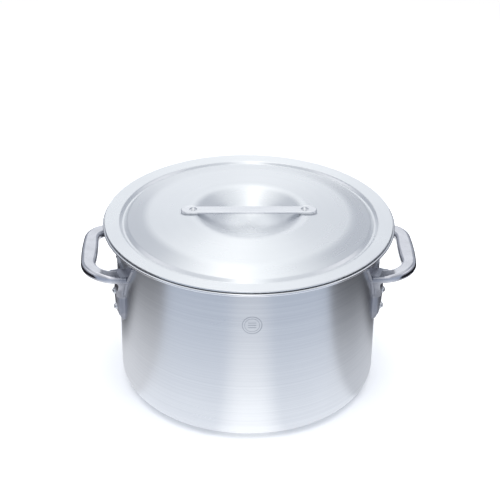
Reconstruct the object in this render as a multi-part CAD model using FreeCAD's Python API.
# Half-depth aluminium stock pot: a spun body with a turned-out lip, two cast loop handles
# riveted to the wall, and a lift-off pressed lid with a strap handle across a finger dish.
#
# Millimetres.  The origin is the centre of the underside of the base.  +Z is up, and X runs
# from the left handle to the right handle.
import FreeCAD, Part
import math
import os

Vector = FreeCAD.Vector
X_AXIS = Vector(1, 0, 0)
Y_AXIS = Vector(0, 1, 0)
Z_AXIS = Vector(0, 0, 1)
ORIGIN = Vector(0, 0, 0)

# ---- pot body -------------------------------------------------------------------------------
inner_radius = 150.0
wall = 3.0
outer_radius = inner_radius + wall
pot_height = 206.0
base_thickness = 5.0
bottom_corner = 20.0            # outside radius between the base and the wall
lip_radius = 170.5
lip_thickness = 3.0
lip_bend = 5.0                  # radius on top, where the wall turns out into the lip
edge_round = 1.3

# ---- lid --------------------------------------------------------------------------------------
sheet = 2.0
seat_gap = 0.3                  # the lid is drawn this far above the lip it rests on
lid_radius = 168.6
lid_top = pot_height + seat_gap + sheet     # top face of the brim
brim_lift = 0.5                 # the brim rises this much towards its rim
groove_rim_radius = inner_radius + 1.0      # a pressed groove locates the lid in the mouth
groove_floor_outer = inner_radius - 1.8
groove_floor_inner = inner_radius - 4.4
groove_depth = 3.0
groove_rim_round = 2.0
groove_floor_round = 1.2
dome_foot_radius = 141.8
dome_foot_height = 0.2          # heights on the lid are measured from the brim's top face
dome_foot_round = 2.5
shoulder_radius = 120.5         # the dome is steeper outside this ring
shoulder_height = 5.6
shoulder_round = 45.0
crest_radius = 65.0
crest_height = 9.9
crest_round = 25.0
dish_depth = 14.5               # from the crest to the bottom of the finger dish
dish_flat_radius = 26.0
dish_round = 70.0

# ---- strap handle on the lid --------------------------------------------------------------------
strap_length = 159.0
strap_width = 15.0
strap_thickness = 3.0
strap_edge_round = 1.0
seat_height = 8.5               # two flats pressed into the crest, on which the strap lies
seat_margin = 1.5
seat_inner_reach = 60.5         # the flats run out at the edge of the dish
seat_wall_height = 3.0          # the flats' surrounds slope up over this height and width
seat_wall_width = 13.0
lid_rivet_x = 65.0
lid_head_radius = 4.6
lid_head_height = 2.2
lid_tail_height = 2.4

# ---- side handles -------------------------------------------------------------------------------
loop_reach = 196.2              # outermost X of a handle
loop_bow = 2.6                  # how far the middle of the grip stands outside its ends
bow_round = 400.0
band_width = 17.5
grip_belly = 3.5                # the grip is this much narrower at its ends than the band's width
band_thickness = 10.4
band_round = 4.2
grip_half_span = 67.8           # half the outside width of the loop at its outer corners
arm_half_span = 62.6            # half the outside width where the arms leave the wall
outer_corner = 38.0
inner_corner = 20.0
arm_top = 165.8                 # height of the band's top face at the wall
rise = 0.09                     # slope of the loop, going up and outward
buried = 8.0                    # solids start this far inside the wall face and are trimmed to it
lap = 0.5                       # neighbouring solids overlap by this much before they are fused

# Outlines on the wall are points of (distance from the handle's middle, height, rounding).
web_thickness = 2.5
web_outline = [(39.5, 119.0, 12.0), (52.5, 133.0, 20.0), (61.5, 155.0, 20.0), (78.0, 182.0, 2.0),
               (73.0, 183.0, 2.5), (47.0, 166.0, 12.0)]

root_outline = [(46.0, 141.0, 0.0), (54.0, 141.0, 0.0), (61.0, 155.0, 10.0), (62.3, 162.8, 6.0),
                (70.0, 171.0, 20.0), (78.0, 183.0, 0.0), (46.0, 166.8, 0.0)]
root_low = 141.0
root_high = 183.0
root_run = 3.0                  # the root runs on this far into the arm past its fillets
wing_fillet = 8.0               # between an arm's top face and the wing above it
under_fillet = 9.0              # between an arm's underside and the foot below it

foot_outline = [(61.0, 161.0, 3.0), (52.0, 135.0, 30.0), (50.5, 111.0, 20.0), (45.0, 94.0, 8.0),
                (33.0, 94.0, 7.0), (29.5, 111.0, 20.0), (30.5, 147.0, 9.0), (45.0, 161.0, 5.0)]
foot_face = outer_radius + 9.0
foot_low_face = outer_radius + 7.2
foot_low_level = 107.0          # below this the foot thins away
foot_toe_face = outer_radius + 1.2
foot_toe = 94.0
foot_round = 3.2
foot_low_round = 12.0
foot_high_round = 60.0
ridge_radius = 12.5             # the foot is rounded off across its width
ridge_crest = outer_radius + 10.2
ridge_bend = 130.0              # above this height the ridge leans towards the arm
ridge_top = 170.0
ridge_top_y = 56.0

# ---- handle rivets --------------------------------------------------------------------------------
rivet_y = 40.0
rivet_levels = {"upper": 134.0, "lower": 112.5}
shank_radius = 2.4
head_radius = 4.2
head_height = 2.9
tail_radius = 4.4
tail_height = 1.4


def tangent_arc(corner, before, after, radius):
    """Arc that rounds a corner, as its start, middle and end points."""
    back = (before - corner).normalize()
    onward = (after - corner).normalize()
    half_angle = back.getAngle(onward) / 2.0
    run = radius / math.tan(half_angle)
    bisector = (back + onward).normalize()
    middle = corner + bisector * (radius / math.sin(half_angle) - radius)
    return corner + back * run, middle, corner + onward * run


def rounded_wire(corners, place):
    """Closed wire through corners (u, v, radius), with each corner rounded by its radius."""
    points = [place(u, v) for u, v, _ in corners]
    stretches = []
    for index, (_, _, radius) in enumerate(corners):
        before = points[index - 1]
        after = points[(index + 1) % len(points)]
        if radius > 0:
            stretches.append(tangent_arc(points[index], before, after, radius))
        else:
            stretches.append((points[index],))
    edges = []
    for index, stretch in enumerate(stretches):
        if len(stretch) == 3:
            edges.append(Part.Arc(*stretch).toShape())
        following = stretches[(index + 1) % len(stretches)][0]
        if stretch[-1].distanceToPoint(following) > 1e-6:
            edges.append(Part.LineSegment(stretch[-1], following).toShape())
    return Part.Wire(edges)


def spin(corners):
    """Solid of revolution about Z from a closed outline of (radius, height, rounding)."""
    face = Part.Face(rounded_wire(corners, lambda u, v: Vector(u, 0, v)))
    return face.revolve(ORIGIN, Z_AXIS, 360)


def prism(corners, place, direction):
    """Solid pushed out along direction from a closed outline of (u, v, rounding)."""
    return Part.Face(rounded_wire(corners, place)).extrude(direction)


def sheet_outline(path, thickness, rim_round):
    """Closed outline of a bent sheet from its top path, which runs from the rim to the axis."""
    points = [Vector(radius, 0, height) for radius, height, _ in path]
    normals = []
    for start, end in zip(points, points[1:]):
        along = (end - start).normalize()
        normals.append(Vector(along.z, 0, -along.x) * -1)
    under = []
    for index, (_, _, rounding) in enumerate(path[1:-1], start=1):
        first, second = normals[index - 1], normals[index]
        shift = (first + second) * (thickness / (1 + first.dot(second)))
        turn = first.cross(second).y
        below = points[index] + shift
        grown = rounding + thickness if turn > 0 else rounding - thickness
        under.append((below.x, below.z, grown))
    rim_below = points[0] + normals[0] * thickness
    hub_below = points[-1] + normals[-1] * thickness
    top = [(path[0][0], path[0][1], rim_round)] + path[1:]
    return top + [(hub_below.x, hub_below.z, 0)] + under[::-1] + [(rim_below.x, rim_below.z, rim_round)]


def wall_cylinder(radius):
    return Part.makeCylinder(radius, pot_height, ORIGIN, Z_AXIS)


def domed_head(radius, height, sink):
    """Rivet head standing on z = 0 along +Z, with a plug that reaches down by sink."""
    ball_radius = (radius ** 2 + height ** 2) / (2 * height)
    ball = Part.makeSphere(ball_radius, Vector(0, 0, height - ball_radius))
    keep = Part.makeCylinder(radius, height, ORIGIN, Z_AXIS)
    plug = Part.makeCylinder(radius, sink, Vector(0, 0, -sink), Z_AXIS)
    return ball.common(keep).fuse(plug)


def rivet_angle():
    """Angle of a rivet round the wall, away from the handle's middle, in degrees."""
    return math.degrees(math.asin(rivet_y / foot_face))


def rivet_frame(side, row, level):
    """Placement whose +Z points out of the wall, from the pot's axis at the rivet's height."""
    angle = rivet_angle() * row * side + (0 if side > 0 else 180)
    outward = FreeCAD.Rotation(Z_AXIS, angle).multVec(X_AXIS)
    return FreeCAD.Placement(Vector(0, 0, level), FreeCAD.Rotation(Z_AXIS, outward))


def rivet_places():
    """Name and placement of each of the eight handle rivets."""
    for side_name, side in (("left", -1), ("right", 1)):
        for level_name, level in rivet_levels.items():
            for row_name, row in (("front", -1), ("back", 1)):
                yield side_name, f"{side_name}_rivet_{level_name}_{row_name}", rivet_frame(side, row, level)


def rivet_shank(frame):
    """Shank from inside the tail, through the wall and the foot, to inside the head."""
    low = inner_radius - tail_height / 2
    high = foot_face + head_height / 2
    shank = Part.makeCylinder(shank_radius, high - low, Vector(0, 0, low))
    shank.Placement = frame
    return shank


def make_pot_body():
    body = spin([
        (0, 0, 0),
        (outer_radius, 0, bottom_corner),
        (outer_radius, pot_height - lip_thickness, lip_bend - lip_thickness),
        (lip_radius, pot_height - lip_thickness, edge_round),
        (lip_radius, pot_height, edge_round),
        (inner_radius, pot_height, lip_bend),
        (inner_radius, base_thickness, bottom_corner - wall),
        (0, base_thickness, 0),
    ])
    for _, _, frame in rivet_places():
        body = body.cut(rivet_shank(frame))
    return body


def band_height(reach):
    """Height of the band's top face at a given X."""
    return arm_top + rise * (reach - outer_radius)


def make_loop():
    """The bent grip of the right handle: a flat band in a plane that rises outward."""
    start = handle_start()
    corner_reach = loop_reach - loop_bow
    inner_reach = corner_reach - band_width
    half_out = grip_half_span
    half_in = grip_half_span - band_width
    arm_in = arm_half_span - band_width
    plan = [
        (start, arm_half_span, 0),
        (corner_reach, half_out, outer_corner),
        (loop_reach + 0.4 * loop_bow, 0, bow_round),
        (corner_reach, -half_out, outer_corner),
        (start, -arm_half_span, 0),
        (start, -arm_in, 0),
        (inner_reach + grip_belly, -half_in, inner_corner),
        (inner_reach + loop_bow - grip_belly / 2, 0, bow_round),
        (inner_reach + grip_belly, half_in, inner_corner),
        (start, arm_in, 0),
    ]
    low = arm_top - band_thickness
    band = prism(plan, lambda u, v: Vector(u, v, low), Vector(0, 0, band_thickness))
    long_edges = [
        edge for edge in band.Edges
        if edge.BoundBox.ZLength < 0.01 and edge.BoundBox.XLength > 0.01
    ]
    band = band.makeFillet(band_round, long_edges)
    band.rotate(Vector(outer_radius, 0, arm_top), Y_AXIS, -math.degrees(math.atan(rise)))
    return band


def wall_slab(outline):
    """Block pushed out along X from an outline on the wall, from inside the pot to outside it."""
    return prism(outline, lambda u, v: Vector(outer_radius / 2, u, v), Vector(outer_radius, 0, 0))


def make_root():
    """Curved root of the arm at positive Y, blended up into the wing and down into the foot."""
    inside = outer_radius - buried
    web_face = outer_radius + web_thickness
    fillet_end = foot_face + under_fillet
    under = band_height(fillet_end) - band_thickness + lap
    profile = [
        (inside, root_high, 0),
        (web_face, root_high, 0),
        (web_face, arm_top + lap, wing_fillet),
        (web_face + wing_fillet + root_run, arm_top - lap, 0),
        (fillet_end + root_run, arm_top - band_thickness / 2, 0),
        (fillet_end + root_run, under, 0),
        (foot_face, under, under_fillet),
        (foot_face, root_low, 0),
        (inside, root_low, 0),
    ]
    return wall_slab(root_outline).common(spin(profile))


def handle_start():
    """X at which the handle's band starts, inside the wall face at the arms."""
    return math.sqrt(outer_radius ** 2 - arm_half_span ** 2) - 2 * buried


def make_web():
    """Thin back plate that joins both arms and rises into a wing beyond each of them."""
    other_half = [(-y, z, rounding) for y, z, rounding in reversed(web_outline)]
    slab = wall_slab(web_outline + other_half)
    return slab.common(wall_cylinder(outer_radius + web_thickness))


def make_foot():
    """Thick rounded pad under the arm at negative Y, which takes two rivets."""
    inside = outer_radius - buried
    start = foot_toe - lap
    profile = [
        (inside, start, 0),
        (foot_toe_face - lap, start, 0),
        (foot_toe_face, foot_toe, 0),
        (foot_low_face, foot_low_level, foot_low_round),
        (foot_face, rivet_levels["upper"], foot_high_round),
        (foot_face, arm_top, 0),
        (inside, arm_top, 0),
    ]
    slab = wall_slab([(-y, z, rounding) for y, z, rounding in foot_outline])
    foot = slab.common(spin(profile))
    foot = foot.makeFillet(foot_round, [edge for edge in foot.Edges if is_foot_rim(edge)])
    return foot.common(foot_ridge())


def ridge_point(y, level):
    """Point on the axis of the ridge at negative Y, under the foot's face."""
    angle = math.asin(y / foot_face)
    reach = ridge_crest - ridge_radius
    return Vector(reach * math.cos(angle), -reach * math.sin(angle), level)


def foot_ridge():
    """Bent round bar that rounds the foot off on both sides of its rivets."""
    stops = [ridge_point(rivet_y, foot_toe - 2 * lap), ridge_point(rivet_y, ridge_bend),
             ridge_point(ridge_top_y, ridge_top)]
    bars = []
    for start, end in zip(stops, stops[1:]):
        along = end - start
        bars.append(Part.makeCylinder(ridge_radius, along.Length, start, along))
    return bars[0].fuse([bars[1], Part.makeSphere(ridge_radius, stops[1])])


def foot_reach(level):
    """Radius of the foot's outer face at the height of a rivet."""
    slope = (foot_face - foot_low_face) / (rivet_levels["upper"] - foot_low_level)
    return foot_low_face + slope * (level - foot_low_level)


def is_foot_rim(edge):
    """True for an edge round the foot's outer face, but not for a seam across that face."""
    radii = [math.hypot(vertex.X, vertex.Y) for vertex in edge.Vertexes]
    level = edge.BoundBox.ZLength < 0.01
    return min(radii) > outer_radius + 0.8 and not level


def make_handle(side):
    """One cast handle, trimmed to the wall and drilled for its four rivets."""
    root = make_root()
    foot = make_foot()
    pieces = [make_web(), root, foot, root.mirror(ORIGIN, Y_AXIS), foot.mirror(ORIGIN, Y_AXIS)]
    handle = make_loop().fuse(pieces).cut(wall_cylinder(outer_radius))
    if side < 0:
        handle.rotate(ORIGIN, Z_AXIS, 180)
    for side_name, _, frame in rivet_places():
        if (side_name == "left") == (side < 0):
            handle = handle.cut(rivet_shank(frame))
    return handle.removeSplitter()


def make_handle_rivet(frame, handle, body):
    """One rivet: a domed head on the foot, a shank through both parts and a low head inside."""
    reach = foot_reach(frame.Base.z)
    head = domed_head(head_radius, head_height, head_height)
    head.Placement = frame.multiply(FreeCAD.Placement(Vector(0, 0, reach), FreeCAD.Rotation()))
    turned = FreeCAD.Rotation(X_AXIS, 180)
    tail = domed_head(tail_radius, tail_height, tail_height)
    tail.Placement = frame.multiply(FreeCAD.Placement(Vector(0, 0, inner_radius), turned))
    rivet = head.fuse([tail, rivet_shank(frame)])
    return rivet.cut(handle).cut(body)


def lid_path():
    """Top face of the lid, from the rim of the brim to the centre of the finger dish."""
    groove_floor = lid_top - groove_depth
    dish_floor = lid_top + crest_height - dish_depth
    return [
        (lid_radius, lid_top + brim_lift, 0),
        (groove_rim_radius, lid_top, groove_rim_round),
        (groove_floor_outer, groove_floor, groove_floor_round),
        (groove_floor_inner, groove_floor, groove_floor_round),
        (dome_foot_radius, lid_top + dome_foot_height, dome_foot_round),
        (shoulder_radius, lid_top + shoulder_height, shoulder_round),
        (crest_radius, lid_top + crest_height, crest_round),
        (dish_flat_radius, dish_floor, dish_round),
        (0, dish_floor, 0),
    ]


def strap_seat():
    """Height of the underside of the strap."""
    return lid_top + seat_height


def obround_wire(length, width, level):
    """Flat loop with round ends, long in X, centred on the axis."""
    radius = width / 2
    reach = length / 2
    straight = reach - radius
    front = Part.LineSegment(Vector(-straight, -radius, level), Vector(straight, -radius, level))
    right = Part.Arc(front.EndPoint, Vector(reach, 0, level), Vector(straight, radius, level))
    back = Part.LineSegment(right.EndPoint, Vector(-straight, radius, level))
    left = Part.Arc(back.EndPoint, Vector(-reach, 0, level), front.StartPoint)
    return Part.Wire([front.toShape(), right.toShape(), back.toShape(), left.toShape()])


def strap_slab(margin, level, height):
    """Upright block with the strap's outline grown by margin."""
    loop = obround_wire(strap_length + 2 * margin, strap_width + 2 * margin, level)
    return Part.Face(loop).extrude(Vector(0, 0, height))


def seat_floor():
    """Sheet under the two flats that the strap's ends lie on."""
    slab = strap_slab(seat_margin, strap_seat() - sheet, sheet)
    return slab.cut(Part.makeCylinder(seat_inner_reach, pot_height, Vector(0, 0, lid_top), Z_AXIS))


def seat_hollow():
    """Space above the flats, widening upward."""
    grown = seat_margin + seat_wall_width
    floor = obround_wire(strap_length + 2 * seat_margin, strap_width + 2 * seat_margin, strap_seat())
    mouth = obround_wire(strap_length + 2 * grown, strap_width + 2 * grown,
                         strap_seat() + seat_wall_height)
    return Part.makeLoft([floor, mouth], True)


def lid_rivet_shank(x):
    """Rivet shank through the strap and its seat, from inside the tail to inside the head."""
    low = strap_seat() - sheet - lid_tail_height / 2
    high = strap_seat() + strap_thickness + lid_head_height / 2
    return Part.makeCylinder(shank_radius, high - low, Vector(x, 0, low))


def make_lid():
    lid = spin(sheet_outline(lid_path(), sheet, edge_round / 2))
    lid = lid.fuse(seat_floor()).cut(seat_hollow())
    for x in (-lid_rivet_x, lid_rivet_x):
        lid = lid.cut(lid_rivet_shank(x))
    return lid


def make_strap():
    strap = strap_slab(0, strap_seat(), strap_thickness)
    rims = [edge for edge in strap.Edges if edge.BoundBox.ZLength < strap_thickness / 2]
    strap = strap.makeFillet(strap_edge_round, rims)
    for x in (-lid_rivet_x, lid_rivet_x):
        strap = strap.cut(lid_rivet_shank(x))
    return strap


def make_lid_rivet(x, lid, strap):
    """One rivet of the strap: a low domed head on top and a tail under the lid."""
    head = domed_head(lid_head_radius, lid_head_height, lid_head_height / 2)
    head.translate(Vector(x, 0, strap_seat() + strap_thickness))
    tail = domed_head(tail_radius, lid_tail_height, sheet / 2)
    tail.rotate(ORIGIN, X_AXIS, 180)
    tail.translate(Vector(x, 0, strap_seat() - sheet))
    rivet = head.fuse([tail, lid_rivet_shank(x)])
    return rivet.cut(strap).cut(lid)


def main():
    body = make_pot_body()
    handles = {"left": make_handle(-1), "right": make_handle(1)}
    parts = {"pot_body": body, "left_handle": handles["left"], "right_handle": handles["right"]}
    for side_name, name, frame in rivet_places():
        parts[name] = make_handle_rivet(frame, handles[side_name], body)
    lid = make_lid()
    strap = make_strap()
    parts["lid"] = lid
    parts["lid_handle"] = strap
    parts["lid_rivet_left"] = make_lid_rivet(-lid_rivet_x, lid, strap)
    parts["lid_rivet_right"] = make_lid_rivet(lid_rivet_x, lid, strap)
    os.makedirs("parts", exist_ok=True)
    for name, shape in parts.items():
        shape.exportStep(f"parts/{name}.step")
        print(name, shape.isValid(), len(shape.Solids), round(shape.Volume / 1000, 3), "cm3")


if __name__ == "__main__":
    main()
